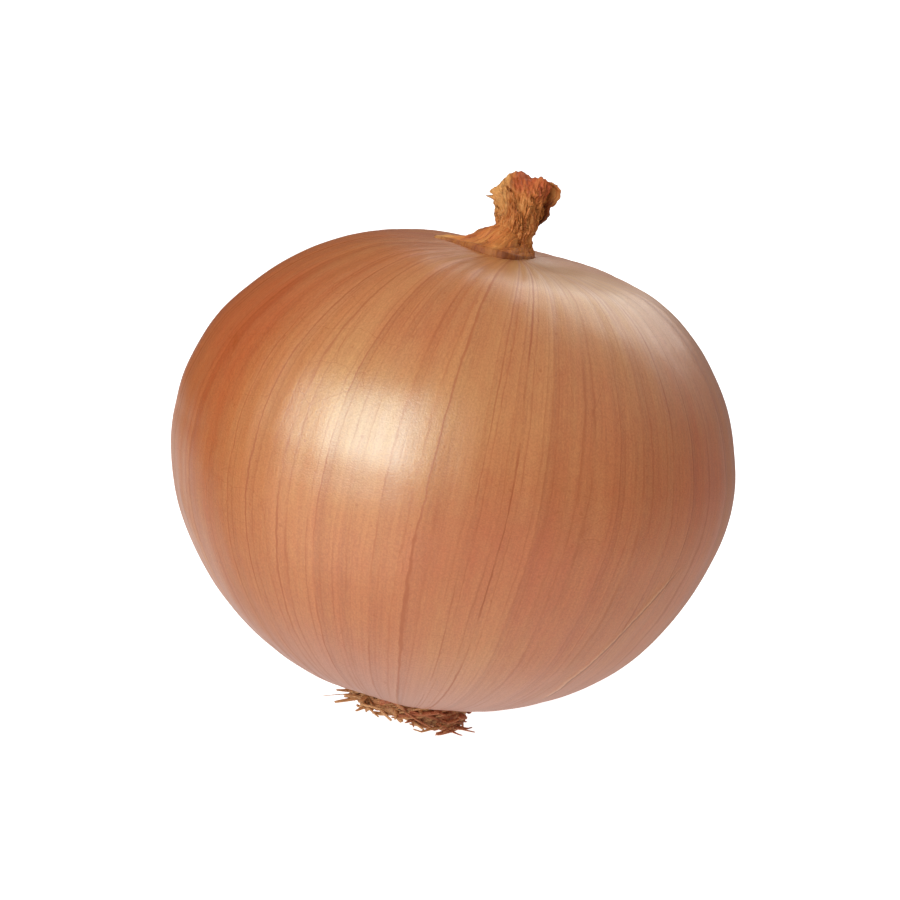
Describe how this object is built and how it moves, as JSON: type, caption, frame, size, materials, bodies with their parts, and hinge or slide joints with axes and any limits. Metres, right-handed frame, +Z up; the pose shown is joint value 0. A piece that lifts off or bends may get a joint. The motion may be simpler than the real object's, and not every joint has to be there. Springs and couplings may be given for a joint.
{
  "type": "onion",
  "caption": "Whole dry brown onion with papery skin, withered neck and a short root tuft, leaning on a small flat spot.",
  "frame": {"origin": "on the surface the onion stands on, at the flattened spot of its root tuft, under its centre of mass", "axes": "+Z up from that surface, +X towards the side that the onion leans to, so that the neck is on the +X side, -Y towards the viewer of the picture"},
  "size_m": [0.0799, 0.0802, 0.0795],
  "materials": {
    "onion_skin": "smooth dry papery skin with a soft gloss",
    "dry_neck": "matt, dry, fibrous",
    "dry_roots": "matt, dry, fibrous"
  },
  "bodies": {
    "root": {"bulb": "onion_skin", "neck": "dry_neck", "root_tuft": "dry_roots"}
  },
  "joints": []
}
